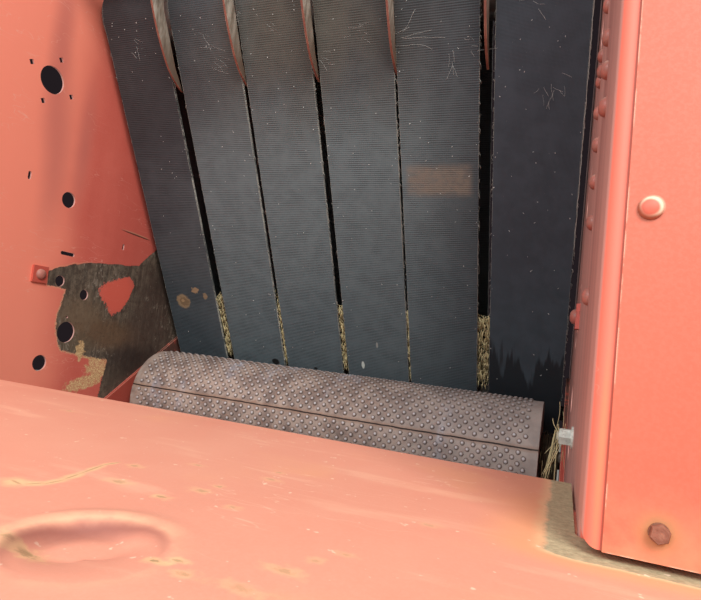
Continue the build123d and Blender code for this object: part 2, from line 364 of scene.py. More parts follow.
# %% Node group: settled dust
settled_dust, given, result = new_group(
    "settled_dust", [("Amount", "Float", 0.5), ("Size", "Float", 9.0)])
level = ramp(facing("Z"), 0.2, 0.95)
drift = noise(given["Size"], 6.0, 0.62)
lies = ramp(drift, 0.38, 0.72)
fill(result["Mask"], level * lies * given["Amount"])

# %% Node group: fine scratches
scratches, given, result = new_group(
    "fine_scratches", [("Direction", "Vector", (30.0, 4.0, 30.0)), ("Thin", "Float", 0.012)])
line = abs(stretched_noise(given["Direction"], 2.0) - 0.5)
thin = ramp(line, given["Thin"], 0.0)
some = ramp(noise(7.0, 2.0), 0.5, 0.62)
fill(result["Mask"], thin * some)
print("node groups", [group.name for group in bpy.data.node_groups])


# %% [markdown]
# ## Marks with straight sides
# The left wall has a patch where turning hay has rubbed the paint off. Its outline is a polygon with
# ragged sides. A point lies inside a polygon with no hollow corners when it is on the inner side of
# every edge, so the smallest of these distances is a mask, and the largest of several masks joins them.


# %% Helper for polygon masks
def inside(corners):
    """How far inside a polygon on the wall a point is, in metres. Corners run anticlockwise, in mm."""
    y = at("Y")
    z = at("Z")
    nearest = None
    for (a0, b0), (a1, b1) in zip(corners, corners[1:] + corners[:1]):
        length = math.hypot(a1 - a0, b1 - b0)
        normal = (-(b1 - b0) / length, (a1 - a0) / length)
        offset = -(normal[0] * a0 + normal[1] * b0) / 1000
        first = calc("MULTIPLY_ADD", y, normal[0], offset)
        distance = calc("MULTIPLY_ADD", z, normal[1], first)
        nearest = distance if nearest is None else calc("MINIMUM", nearest, distance)
    return nearest


# %% [markdown]
# ## Painted steel
# The walls, the posts, the panels and the deck carry one red paint, faded by a different amount on each.
# A function makes each paint from the same group, and the marks of that one surface go on top: colours
# are mixed from the paint outward, the way dirt is laid on the real thing.


# %% Paints for the frame
def paint(name, fresh, faded, fading, unevenness=0.5, streaks=0.3):
    """Starts a painted material. Returns it with its coat of paint."""
    material = new_material(name)
    look = use(faded_paint, Fresh=fresh, Faded=faded, Fading=fading, Unevenness=unevenness, Streaks=streaks)
    return material, Coat(look["Color"], look["Roughness"], look["Height"])


red_frame, coat = paint("faded_red_frame", rgb(170, 50, 38), rgb(222, 112, 92), 0.45)
dusty = mask(settled_dust, Amount=0.55)
worn = mask(edge_wear, Width=0.004, Patchy=0.52)
coat.lay(dusty, rgb(186, 164, 124))
coat.lay(worn, rgb(112, 62, 40))
coat.finish()

head_paint, coat = paint("bolt_head_paint", rgb(146, 62, 52), rgb(206, 134, 118), 0.5, 1.6)
dusty = mask(settled_dust, Amount=0.9, Size=40.0)
smeared = ramp(noise(110.0, 4.0, 0.7), 0.42, 0.6)
coat.lay(smeared * 0.55, rgb(150, 112, 100))
coat.lay(dusty, rgb(214, 176, 156))
coat.finish()

# %% Paint for the plates at the drum's ends
plate_paint, coat = paint("end_plate_paint", rgb(150, 48, 38), rgb(200, 98, 82), 0.45)
high_up = ramp(at("Z"), 0.30, 0.37)
grime = high_up * ramp(noise(60.0, 5.0, 0.7), 0.3, 0.5)
coat.lay(grime * 0.9, rgb(78, 62, 54))
coat.wear(0.003, 0.2, 0.85, rgb(236, 160, 138))
coat.finish()

# %% Spots on the walls' inner faces
inner_wall = 0.604


def wall_spot(side, y, z, along, up, **sockets):
    """Mask of a soft spot on a wall: its place, and how far it reaches along the wall and up it."""
    return mask(soft_spot, Center=(side * inner_wall, y, z), Reach=(0.05, along, up), **sockets)


# %% Outline of the rubbed patch
rubbed_corners = (
    [(100, 600), (71, 455), (75, 429), (89, 389), (98, 377), (135, 371), (262, 353), (700, 353), (700, 640),
     (325, 634), (193, 620), (132, 610)],
    [(33, 537), (110, 531), (110, 604), (61, 588), (27, 572)],
    [(325, 600), (700, 600), (700, 1400), (371, 717), (335, 643), (325, 634)],
    [(240, 240), (700, 200), (700, 380), (262, 380)],
)
island_corners = [(253, 480), (282, 497), (304, 526), (323, 574), (316, 588), (298, 596), (214, 566),
                  (194, 548), (197, 533)]


def rubbed_patch():
    """How far inside the rubbed patch a point is, in metres, with the island of paint left in it."""
    reach = None
    for corners in rubbed_corners:
        distance = inside(corners)
        reach = distance if reach is None else calc("SMOOTH_MAX", reach, distance, 0.008)
    combed = stretched_noise((1.0, 190.0, 90.0), 4.0, 0.8)
    frayed = calc("MULTIPLY_ADD", combed, 0.046, -0.023)
    frayed = frayed * ramp(at("Y"), 0.29, 0.22, 0.25, 1.0)
    island = (inside(island_corners) + frayed) * -1.0
    reach = calc("MINIMUM", reach, island)
    coarse = (noise(30.0, 3.0) - 0.5) * 0.010
    lower = ramp(at("Z"), 0.56, 0.50, 0.005, 0.022)
    fine = (noise(260.0, 4.0, 0.75) - 0.5) * lower
    return reach + (coarse + fine)


def bare_wall():
    """Colour of the rubbed steel: grey above, brown in the middle, nearly black by the belts."""
    streaks = ramp(stretched_noise((1.0, 90.0, 12.0), 5.0, 0.7), 0.34, 0.68)
    steel = Coat(mix(streaks, rgb(82, 72, 62), rgb(124, 110, 94)))
    mottle = ramp(noise(62.0, 6.0, 0.72), 0.42, 0.62)
    steel.lay(mottle * 0.65, rgb(62, 48, 40))
    for y, z, width, up, tone, strength in bare_spots:
        spot = wall_spot(-1, y, z, width, up, Ragged=0.9, Grain=24.0, Blur=0.5)
        steel.lay(spot * strength, tone)
    smears = ramp(noise(140.0, 6.0, 0.8), 0.50, 0.62)
    steel.lay(smears * 0.35, rgb(36, 28, 26))
    hairs = mask(scratches, Direction=(4.0, 60.0, 22.0), Thin=0.02)
    steel.lay(hairs * 0.5, rgb(176, 164, 148))
    flecks = ramp(noise(170.0, 2.0), 0.72, 0.77)
    steel.lay(flecks * 0.6, rgb(178, 162, 140))
    return steel.colour


bare_spots = (
    # place along the wall and up it in metres, how far it reaches, its colour and its strength
    (0.150, 0.470, 0.080, 0.060, rgb(124, 102, 80), 0.7),
    (0.255, 0.425, 0.130, 0.045, rgb(108, 82, 60), 0.75),
    (0.145, 0.395, 0.060, 0.030, rgb(104, 90, 72), 0.7),
    (0.420, 0.470, 0.110, 0.190, rgb(78, 60, 52), 0.7),
    (0.350, 0.345, 0.130, 0.055, rgb(54, 43, 40), 0.75),
    (0.300, 0.300, 0.045, 0.040, rgb(84, 72, 62), 0.6),
    (0.480, 0.640, 0.100, 0.120, rgb(60, 48, 42), 0.6),
)
ochre_spots = (
    # place along the wall and up it, how far it reaches, and its tilt
    (0.226, 0.333, 0.036, 0.040, 0.0), (0.190, 0.294, 0.066, 0.018, 0.25),
    (0.157, 0.383, 0.008, 0.019, 0.0), (0.196, 0.364, 0.030, 0.008, -0.2),
)

# %% Paint for the walls
shade_spots = (
    # place along the wall and up it, and how far it reaches
    (-0.030, 1.190, 0.030, 0.160), (-0.022, 1.010, 0.034, 0.160), (0.006, 0.840, 0.036, 0.180),
    (0.080, 0.900, 0.026, 0.160),
)


def side_wall_paint(name, side):
    """Wall paint, faded with painted light towards the front and painted shade by the belts. On the left
    wall hay has rubbed a large piece of it away.
    """
    material, coat = paint(name, rgb(176, 48, 38), rgb(234, 124, 106), 0.62, 0.5, 0.35)
    bare_paint = coat.colour
    along = at("Y")
    wander = (noise(5.0, 2.0) - 0.5) * 0.09
    # Painted light: the paint is faded and painted lighter towards the front, as if lit there.
    bleached_and_lit = ramp(along + wander, 0.150, 0.0)
    bleached_lit_tone = rgb(255, 150, 124) if side < 0 else rgb(248, 126, 103)
    coat.lay(bleached_and_lit * 0.88, bleached_lit_tone)
    # Painted shadow: soft bands of shade run down the wall.
    for y, z, width, up in shade_spots:
        spot = wall_spot(side, y, z, width, up, Ragged=0.3, Grain=9.0, Blur=0.8)
        coat.lay(spot * 0.6, rgb(196, 110, 98))
    # Painted shade: the wall darkens towards the belts.
    shade_near_belts = ramp(along, 0.13, 0.42) * 0.4
    coat.lay(shade_near_belts, rgb(150, 56, 50))
    lines = mask(scratches, Direction=(20.0, 9.0, 34.0), Thin=0.006)
    coat.lay(lines * 0.35, rgb(246, 196, 176))
    across = abs(at("X"))
    inner_face = ramp(across, 0.6062, 0.6045)
    if side < 0:
        grains = noise(330.0, 3.0, 0.8)
        ochre_grain = mix(ramp(grains, 0.4, 0.65), rgb(188, 146, 100), rgb(236, 206, 154))
        for y, z, width, up, turn in ochre_spots:
            spot = wall_spot(side, y, z, width, up, Ragged=1.5, Turn=(turn, 0.0, 0.0), Grain=75.0)
            spot = spot * ramp(grains, 0.42, 0.52, 0.45, 1.0)
            coat.lay(spot, ochre_grain)
        patch = rubbed_patch()
        bare = ramp(patch, 0.0, 0.002)
        rim = ramp(patch, -0.0030, 0.0) - bare
        low_left = ramp(along, 0.19, 0.12) * ramp(at("Z"), 0.56, 0.48, 0.3, 0.95)
        coat.lay(rim * low_left, rgb(226, 182, 142))
        coat.lay(bare, bare_wall())
        spike = wall_spot(side, 0.160, 0.378, 0.014, 0.022, Ragged=2.8, Grain=75.0)
        coat.lay(spike * 0.9, ochre_grain)
        tilt = (-0.05, 0.0, 0.0)
        slit = wall_spot(side, 0.306, 0.7205, 0.058, 0.0020, Ragged=0.5, Turn=tilt)
        lip = wall_spot(side, 0.306, 0.7238, 0.056, 0.0022, Ragged=0.5, Turn=tilt)
        coat.lay(lip * 0.6, rgb(186, 142, 112))
        coat.lay(slit * 0.85, rgb(58, 34, 28))
        cut = ramp(across, 0.6089, 0.6084)
        sheet_edge = mix(cut, bare_paint, rgb(204, 158, 148))
        coat.colour = mix(inner_face, sheet_edge, coat.colour)
        coat.height = coat.height - bare * inner_face * 0.6
        fresh = wall_spot(side, 0.262, 0.545, 0.066, 0.062, Ragged=0.3, Blur=0.3)
        fresh = fresh * (1.0 - bare)
        coat.lay(fresh * 0.6, rgb(228, 100, 80))
    else:
        bands = stretched_noise((4.0, 10.0, 1.0), 2.0)
        dusty = mix(ramp(bands, 0.3, 0.7), rgb(160, 126, 118), rgb(206, 168, 156))
        coat.lay(inner_face * 0.78, dusty)
        stain = mask(soft_spot, Center=(0.6120, -0.577, 0.428), Reach=(0.0026, 0.02, 0.060),
                     Ragged=0.4, Grain=20.0, Blur=0.6)
        coat.lay(stain * 0.5, rgb(238, 140, 90))
        seam = ramp(across, 0.6143, 0.6156) * ramp(along, -0.5715, -0.5760)
        coat.lay(seam * 0.6, rgb(122, 74, 58))
    foot = ramp(at("Z"), 0.26, 0.02)
    splashed = foot * ramp(noise(14.0, 6.0, 0.65), 0.38, 0.60)
    coat.lay(splashed * 0.6, rgb(150, 118, 88))
    coat.wear(0.003, 0.50, 0.7, rgb(190, 130, 104))
    coat.finish()
    return material


left_wall_paint = side_wall_paint("left_wall_paint", -1)
right_wall_paint = side_wall_paint("right_wall_paint", 1)

# %% Paint for the panels in front
panel_paint, coat = paint("front_panel_paint", rgb(186, 73, 53), rgb(212, 114, 87), 0.68, 0.35, 0.2)
height_up = at("Z")
low_wash = ramp(height_up, 0.425, 0.370) * ramp(noise(24.0, 5.0), 0.35, 0.65)
redder = ramp(height_up, 0.66, 0.44) * 0.45
coat.lay(redder, rgb(207, 99, 76))
coat.lay(low_wash * 0.55, rgb(224, 152, 112))
panel_stains_and_painted_light = (
    # distance from the middle and height, how far it reaches, colour, strength and how soft
    (0.6452, 0.3874, 0.0125, rgb(176, 130, 84), 0.75, 0.5),
    # Painted shadow low on the round bolt's dome.
    (0.6291, 0.5830, 0.0080, rgb(142, 88, 62), 0.7, 0.25),
    # Painted highlight high on the round bolt's dome.
    (0.6303, 0.5851, 0.0070, rgb(252, 228, 196), 0.8, 0.2),
    (0.6290, 0.5838, 0.0057, rgb(212, 104, 82), 1.0, 0.2),
)
for side in (1, -1):
    for x, z, reach, tone, strength, blur in panel_stains_and_painted_light:
        soft_zone = mask(soft_spot, Center=(side * x, -0.58, z), Reach=(reach, 0.02, reach), Ragged=0.3,
                    Grain=90.0, Blur=blur)
        coat.lay(soft_zone * strength, tone)
coat.wear(0.002, 0.46, 0.7, rgb(252, 196, 168))
coat.finish()

# %% [markdown]
# ## Dirt on the deck
# The deck has faded most. Yellow-brown spots show where water dried, there is one long curved scratch,
# and dirt has packed along the wall and the post's foot. Its mask is the distance to that corner: one
# length from the wall, one from the post, and Pythagoras joins them, so the dirt bends round the corner.

# %% Paint for the deck
deck_spots = (
    # a place on the deck, how far the spot reaches across and along, and how strong it is
    (280, -606, 8, 6, 0.5), (303, -648, 13, 7, 0.5), (377, -561, 9, 6, 0.4), (357, -626, 10, 7, 0.5),
    (360, -608, 6, 5, 0.5), (311, -567, 9, 5, 0.4), (371, -536, 7, 4, 0.4), (348, -656, 8, 5, 0.7),
    (467, -710, 12, 6, 0.5), (484, -671, 7, 4, 0.4), (394, -643, 8, 5, 0.4), (474, -689, 5, 5, 0.4),
    (460, -738, 14, 6, 0.4), (431, -741, 8, 5, 0.5), (511, -586, 8, 6, 0.3), (627, -652, 9, 5, 0.3),
    (411, -737, 8, 4, 0.9), (420, -731, 6, 4, 0.8), (350, -757, 16, 9, 0.9), (335, -755, 10, 7, 0.8),
    (-120, -640, 16, 9, 0.4), (-330, -520, 12, 8, 0.4), (60, -470, 10, 6, 0.4),
)
scratch_run = (
    # middle of each piece of the scratch, its half length, its direction and the pale zone round it
    (259, -692, 7, -15, 13, 9), (270, -687, 6, 58, 8, 6), (275, -675, 9, 86, 11, 5),
    (272, -658, 10, 102, 12, 5), (266, -634, 16, 104, 17, 4), (263, -614, 9, 82, 8, 3),
)
deck_face = 0.365


def deck_spot(x, y, across, along, **sockets):
    """Mask of a soft spot on the deck: its place, and how far it reaches, in millimetres."""
    return mask(soft_spot, Center=(x / 1000, y / 1000, deck_face),
                Reach=(across / 1000, along / 1000, 0.02), **sockets)


deck_paint, coat = paint("deck_paint", rgb(212, 106, 85), rgb(238, 171, 143), 0.68, 0.55, 0.0)
pale = ramp(stretched_noise((5.0, 26.0, 5.0), 5.0, 0.6), 0.56, 0.7)
coat.lay(pale * 0.3, rgb(252, 200, 166))
ochre = ramp(noise(6.0, 4.0), 0.55, 0.75)
coat.lay(ochre * 0.25, rgb(244, 182, 122))
for x, y, across, along, strength in deck_spots:
    ring = deck_spot(x, y, across, along, Ragged=2.4, Grain=150.0, Blur=0.55)
    heart = deck_spot(x, y, across / 2.4, along / 2.4, Ragged=2.8, Grain=300.0, Blur=0.5)
    coat.lay(ring * (strength * 0.8), rgb(244, 198, 146))
    coat.lay(heart * (strength * 0.9), rgb(168, 136, 98))
for x, y, half, turn, halo_half, halo_width in scratch_run:
    swing = (0.0, 0.0, math.radians(turn))
    soft_zone = deck_spot(x, y, halo_half, halo_width, Turn=swing, Ragged=1.2, Grain=110.0, Blur=0.6)
    line = deck_spot(x, y, half, 1.2, Turn=swing, Ragged=1.0, Grain=240.0, Blur=0.5)
    coat.lay(soft_zone * 0.75, rgb(246, 202, 150))
    coat.lay(line * 0.6, rgb(172, 134, 96))

# %% Dirt along the wall and the post's foot
wall_side = 0.602
from_wall = calc("MAXIMUM", wall_side - abs(at("X")), 0.0)
from_post = calc("MAXIMUM", calc("MULTIPLY_ADD", at("Y"), -2.0, -1.160), 0.0)
corner = calc("SQRT", calc("POWER", from_wall, 2.0) + calc("POWER", from_post, 2.0))
ragged = (noise(45.0, 5.0, 0.6) - 0.5) * 0.012
corner = corner + ragged
packed = ramp(corner, 0.023, 0.017)
wash = ramp(corner, 0.075, 0.024) * ramp(at("Y"), -0.40, -0.56, 0.25, 0.8)
coat.lay(wash * 0.7, rgb(246, 172, 116))
grit = noise(170.0, 5.0, 0.7)
earth = mix(grit, rgb(120, 104, 78), rgb(214, 196, 156))
coat.lay(packed, earth)
shoulder = (ramp(corner, 0.030, 0.021) - packed) * 0.6
coat.lay(shoulder, rgb(238, 196, 148))
flecks = ramp(noise(130.0, 2.0), 0.70, 0.76)
coat.lay(flecks * 0.6, rgb(255, 226, 196))
lines = mask(scratches, Direction=(9.0, 40.0, 9.0), Thin=0.006)
coat.lay(lines * 0.4, rgb(255, 214, 180))

# %% Painted highlight and shade round the dent, and wear on the deck's edges
dent_center = Vector((0.3735, -0.7425, deck_face))
dent_reach = 0.041
dent_back = Vector((-0.77, 0.64, 0.0))


def dent_ring(scale, shift, blur):
    """Mask of a round zone at the dent, moved towards the dent's steep side by the shift."""
    wide = dent_reach * scale
    return mask(soft_spot, Center=tuple(dent_center + dent_back * shift), Reach=(wide, wide, 0.03),
                Ragged=0.14, Grain=30.0, Blur=blur)


whole = dent_ring(1.0, 0.0, 0.10)
# Painted highlight where the dent's far edge catches light, and painted shade on its steep slope.
lit_edge = calc("SUBTRACT", dent_ring(1.16, 0.005, 0.30), whole, clamp=True)
steep_shade = calc("SUBTRACT", whole, dent_ring(1.0, -0.0085, 0.24), clamp=True)
patchy = ramp(noise(60.0, 4.0), 0.35, 0.6, 0.35, 1.0)
lit_edge = lit_edge * patchy * 0.6
coat.lay(lit_edge, rgb(246, 200, 156))
coat.lay(steep_shade * 0.95, rgb(132, 78, 70))
coat.wear(0.003, 0.5, 0.6, rgb(196, 140, 104))
lumps = packed * noise(190.0, 4.0)
coat.height = coat.height + lumps * 3.0
coat.roughness = ramp(packed, 0.0, 1.0, 0.46, 0.9)
coat.finish()

# %% Give the frame its paint
dress(red_frame, *[name for name in nodes if name.endswith(("_rib", "_tube", "_beam", "_bracket"))])
dress(plate_paint, "left_drum_end_plate", "right_drum_end_plate")
dress(red_frame, "left_stop_plate", "right_stop_plate")
dress(left_wall_paint, "left_side_wall")
dress(right_wall_paint, "right_side_wall")
dress(panel_paint, "left_front_panel", "right_front_panel")
dress(deck_paint, "front_deck")

# %% [markdown]
# ## Belt rubber
# The belts are rubber on woven plies, with fine ribs across them about 5 mm apart. The ribs must follow
# the belt over both rollers, so a group first works out how far along the belt a point is: straight
# along the two flat runs and by angle round the rollers. A sine of that distance gives the ribs.

# %% Where a point lies along its belt
upper_low, upper_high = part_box("upper_roller")
lower_low, lower_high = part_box("lower_roller")
upper_axis = (upper_low + upper_high) / 2
lower_axis = (lower_low + lower_high) / 2
along_belts = upper_axis - lower_axis
along_belts.x = 0.0
roller_spacing = along_belts.length
along_belts.normalize()
out_of_belts = Vector((0.0, -along_belts.z, along_belts.y))
roller_radius = (upper_high.z - upper_low.z) / 2
belt_names = [f"belt_{i + 1}" for i in range(6)]
belt_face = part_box(belt_names[0])[1].z - upper_axis.z
belt_inner = roller_radius + 0.0003
belt_spans = [[side.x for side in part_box(name)] for name in belt_names]


def on_belt(x, along, lift=0.0):
    """Point on the front of the belts: across, along from the upper roller's axis, and out of the face."""
    return Vector((x, upper_axis.y, upper_axis.z)) + along_belts * along + out_of_belts * (belt_face + lift)


belt_track, _, result = new_group(
    "belt_track", [], [("Across", "Float"), ("Along", "Float"), ("Out", "Float")])
from_axis = move("SUBTRACT", place_of(), tuple(upper_axis))
along = measure("DOT_PRODUCT", from_axis, tuple(along_belts))
out = measure("DOT_PRODUCT", from_axis, tuple(out_of_belts))
wrap_top = calc("ARCTAN2", along, out) * belt_face
below = along + roller_spacing
wrap_low = calc("ARCTAN2", below, out) * belt_face - roller_spacing
over_top = calc("GREATER_THAN", along, 0.0)
under = calc("LESS_THAN", below, 0.0)
track = choose(over_top, along, wrap_top)
track = choose(under, track, wrap_low)
fill(result["Across"], at("X"))
fill(result["Along"], track)
fill(result["Out"], out)
print("belts: face", round(belt_face * 1000, 1), "mm from the axis, spacing", round(roller_spacing, 3), "m")

# %% Belt material
rib_pitch = 0.0048
belt_rubber = new_material("belt_rubber", Specular_IOR_Level=0.35)
lie = use(belt_track)
wave = 2 * math.pi / rib_pitch
ribs = calc("SINE", lie["Along"] * wave)
cords = calc("SINE", lie["Across"] * wave)
slant = calc("SINE", (lie["Along"] + lie["Across"]) * wave)
counter = calc("SINE", (lie["Along"] - lie["Across"]) * wave)
plain_weave = calc("MULTIPLY_ADD", cords, 0.25, ribs)
diamond = slant * counter
last_belt = ramp(lie["Across"], 0.38, 0.42)
weave = choose(last_belt, plain_weave, diamond)
cloud = noise(4.0, 4.0)
rubber = Coat(mix(ramp(cloud, 0.35, 0.65), rgb(60, 64, 68), rgb(78, 83, 86)))
# Dust and a painted sheen lighten the middle belts below their top.
middle = ramp(lie["Across"], -0.41, -0.36) * ramp(lie["Across"], 0.46, 0.18)
dust_and_sheen = middle * ramp(lie["Along"], -0.12, -0.36)
rubber.lay(dust_and_sheen * 0.85, rgb(108, 119, 121))
newer = ramp(lie["Across"], 0.36, 0.42)
rubber.lay(newer, rgb(66, 72, 80))
blue = ramp(lie["Along"] + cloud * 0.5, -0.2, -0.75)
rubber.lay(blue * 0.5, rgb(70, 86, 94))
brown = ramp(lie["Along"], -0.45, 0.0) * ramp(abs(lie["Across"] + 0.02), 0.42, 0.05)
brown = brown * ramp(noise(3.0, 3.0), 0.3, 0.6)
rubber.lay(brown * 0.75, rgb(96, 90, 78))
# Painted shade on the left belts near the wall, at their top.
shade_by_wall = ramp(lie["Along"], -0.50, -0.15) * ramp(lie["Across"], -0.20, -0.45, 0.0, 0.45)
rubber.lay(shade_by_wall, rgb(44, 37, 35))
rib_wear = ramp(noise(26.0, 4.0, 0.65), 0.32, 0.66, 0.35, 1.0)
tone = ramp(weave, 1.0, -1.0, 0.0, 0.46) * rib_wear
rubber.lay(tone, rgb(20, 20, 22))
lint = ramp(noise(260.0, 2.0, 0.7), 0.72, 0.78)
rubber.lay(lint * 0.35, rgb(150, 148, 140))

belt_marks = (
    # across, along, half width, half length, colour, strength, raggedness; all in millimetres
    (-521, -778, 25, 24, rgb(150, 126, 96), 0.95, 0.7),
    (-519, -779, 17, 15, rgb(112, 90, 66), 0.7, 1.6),
    (-522, -776, 7, 6, rgb(170, 140, 104), 0.8, 1.2),
    (-468, -737, 13, 10, rgb(158, 130, 98), 0.85, 2.0),
    (-436, -754, 8, 11, rgb(150, 124, 94), 0.75, 1.8),
    (61, -927, 5, 12, rgb(206, 212, 204), 0.95, 0.5),
    (107, -858, 3, 9, rgb(160, 162, 156), 0.7, 0.5),
    (-224, -954, 13, 11, rgb(14, 12, 13), 0.95, 0.3),
    (-90, -960, 6, 5, rgb(18, 15, 16), 0.9, 0.3),
    (5, -760, 2, 14, rgb(38, 40, 44), 0.7, 0.4),
)
for x, s, half_wide, half_long, tint, strength, ragged in belt_marks:
    reach = (half_wide / 1000, half_long / 1000, half_long / 1000)
    center = tuple(on_belt(x / 1000, s / 1000))
    spot = mask(soft_spot, Center=center, Reach=reach, Ragged=ragged, Grain=110.0)
    rubber.lay(spot * strength, tint)
front = calc("GREATER_THAN", lie["Out"], belt_inner + 0.003)
wide = ramp(lie["Across"], 0.205, 0.222) * ramp(lie["Across"], 0.372, 0.350)
tall = ramp(lie["Along"], -0.452, -0.43) * ramp(lie["Along"], -0.362, -0.385)
rub = wide * tall * front
rub = rub * ramp(noise(60.0, 4.0), 0.25, 0.6, 0.35, 0.75)
rubber.lay(rub, rgb(128, 114, 100))
drips = stretched_noise((34.0, 3.0, 3.0))
damp_edge = calc("MULTIPLY_ADD", drips, 0.42, -1.06)
damp = ramp(damp_edge - lie["Along"], 0.0, 0.03) * ramp(lie["Across"], 0.395, 0.41)
rubber.lay(damp * 0.75, rgb(26, 27, 30))
edge_face = ramp(abs(facing("X")), 0.7, 0.9)
fibres = ramp(stretched_noise((1.0, 220.0, 220.0), 4.0, 0.7), 0.35, 0.6, 0.3, 1.0)
stretches = ramp(stretched_noise((4.0, 5.0, 5.0), 3.0, 0.7), 0.44, 0.56, 0.15, 1.0)
pale_edge = edge_face * fibres * stretches
rubber.lay(pale_edge, rgb(188, 188, 178))
rubber.wear(0.0022, 0.40, 0.8, rgb(168, 166, 154))
rubber.roughness = ramp(damp, 0.0, 1.0, 0.72, 0.5)
rubber.height = weave * rib_wear + lint * 0.8
rubber.finish(0.0005, 0.6)
dress(belt_rubber, *belt_names)

# %% [markdown]
# ## Bare and worn metal
# The drum is brown with rust, polished bluish in bands where hay runs over it. Rollers are dull grey,
# shafts oily and dark, bearing housings grey cast iron. The guides between the belts are red on their
# front edges and rubbed grey on their sides, so the direction that a face points in picks the colour.


# %% Materials for metal pieces
def rusty_metal(name, dark, light, bright, size):
    """Rusted steel: dark and light patches of this size, and a bright tone where it is worn."""
    material = new_material(name)
    coat = Coat(mix(ramp(noise(size, 5.0, 0.65), 0.35, 0.65), dark, light))
    bloom = ramp(noise(size * 6, 4.0, 0.7), 0.5, 0.72)
    coat.lay(bloom * 0.45, rgb(118, 76, 54))
    shine = ramp(noise(size * 2.3, 4.0), 0.56, 0.72)
    worn = mask(edge_wear, Width=0.0016, Patchy=0.40)
    shine = calc("MAXIMUM", shine, worn)
    coat.lay(shine * 0.7, bright)
    coat.roughness = ramp(shine, 0.0, 1.0, 0.72, 0.42)
    coat.height = noise(size * 12, 4.0)
    coat.finish(0.0006, 0.7, ramp(shine, 0.0, 1.0, 0.15, 0.7))
    return material


roller_steel = rusty_metal("roller_steel", rgb(70, 68, 66), rgb(104, 98, 92), rgb(156, 156, 154), 10.0)
shaft_steel = rusty_metal("shaft_steel", rgb(66, 60, 56), rgb(110, 102, 94), rgb(176, 174, 168), 20.0)
bearing_iron = rusty_metal("bearing_iron", rgb(84, 80, 76), rgb(120, 112, 104), rgb(150, 148, 142), 26.0)
bolt_steel = rusty_metal("bolt_steel", rgb(104, 92, 82), rgb(142, 132, 120), rgb(190, 188, 180), 60.0)
dress(roller_steel, "upper_roller", "lower_roller")
dress(shaft_steel, "upper_roller_shaft", "lower_roller_shaft", "drum_shaft")
dress(bearing_iron, *[name for name in nodes if name.endswith("_bearing")])

# %% Materials for the drum and its studs
drum_low, drum_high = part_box("drum_shell")
drum_axis = (drum_low + drum_high) / 2
drum_radius = (drum_high.z - drum_low.z) / 2
seam_angle = math.radians(165)


def drum_metal(name, studded):
    """Brown steel with polished bands where hay runs over it, painted lighter towards the right end. Studs
    have painted shade at the foot and a painted highlight on top.
    """
    material = new_material(name)
    patches = ramp(noise(16.0, 5.0, 0.65), 0.35, 0.65)
    coat = Coat(mix(patches, rgb(122, 106, 98), rgb(170, 152, 140)))
    bloom = ramp(noise(85.0, 4.0, 0.7), 0.52, 0.7)
    coat.lay(bloom * 0.4, rgb(150, 104, 78))
    # Painted light: the drum is lighter towards its right end.
    lit_right_end = ramp(at("X"), 0.05, 0.45, 0.0, 0.4)
    coat.lay(lit_right_end, rgb(188, 180, 174))
    bands = stretched_noise((10.0, 3.0, 3.0), 3.0, 0.6)
    polished = ramp(noise(50.0), 0.35, 0.6)
    shine = ramp(bands, 0.55, 0.72) * polished
    from_axis = move("SUBTRACT", place_of(), tuple(drum_axis))
    away = measure("LENGTH", move("MULTIPLY", from_axis, (0.0, 1.0, 1.0)))
    if studded:
        # Painted shade at the studs' foot and a painted highlight on their tips.
        foot = ramp(away, drum_radius + 0.0024, drum_radius + 0.0004)
        tip = ramp(away, drum_radius + 0.0030, drum_radius + 0.0042)
        coat.lay(0.35, rgb(92, 78, 72))
        coat.lay(foot * 0.8, rgb(58, 46, 42))
        coat.lay(tip * 0.85, rgb(228, 222, 218))
        shine = calc("MAXIMUM", shine, tip * 0.6)
    else:
        seam_out = (0.0, math.cos(seam_angle), math.sin(seam_angle))
        seam_side = (0.0, -math.sin(seam_angle), math.cos(seam_angle))
        beside = measure("DOT_PRODUCT", from_axis, seam_side)
        before = measure("DOT_PRODUCT", from_axis, seam_out)
        wavy = (noise(24.0) - 0.5) * 0.005
        beside = abs(beside + wavy)
        seam = ramp(beside, 0.0023, 0.0012) * calc("GREATER_THAN", before, 0.1)
        brown = ramp(beside, 0.010, 0.002) * calc("GREATER_THAN", before, 0.1)
        coat.lay(brown * 0.45, rgb(146, 110, 84))
        coat.lay(seam, rgb(44, 30, 24))
        shine = shine * (1.0 - seam)
    coat.lay(shine * 0.6, rgb(196, 204, 220))
    coat.roughness = ramp(shine, 0.0, 1.0, 0.66, 0.38)
    coat.height = noise(190.0, 4.0)
    coat.finish(0.0006, 0.7, ramp(shine, 0.0, 1.0, 0.1, 0.55))
    return material


drum_steel = drum_metal("drum_steel", False)
stud_steel = drum_metal("stud_steel", True)
dress(drum_steel, "drum_shell")

# %% Material for the belt guides
guide_steel, coat = paint("guide_steel", rgb(108, 50, 40), rgb(140, 84, 66), 0.45)
flank = ramp(abs(facing("X")), 0.6, 0.9)
grain = stretched_noise((4.0, 70.0, 14.0), 5.0, 0.65)
grey = mix(ramp(grain, 0.3, 0.7), rgb(122, 108, 92), rgb(204, 196, 180))
grey = mix(ramp(at("Z"), 1.22, 1.09), grey, rgb(112, 94, 80))
coat.lay(flank, grey)
coat.wear(0.003, 0.45, 0.6, rgb(190, 140, 116))
coat.roughness = 0.5
coat.finish()
guide_names = [f"belt_guide_{i + 1}" for i in range(5)]
dress(guide_steel, *guide_names)

# %% [markdown]
# ## Making small pieces
# Bolts, studs, threads and weld beads are small meshes, made many at a time. `Stock` gathers the corners
# and faces of one piece, and a few functions add round, six-sided and string-like shapes to it. One mesh
# of a thousand studs is far lighter for Blender than a thousand objects.


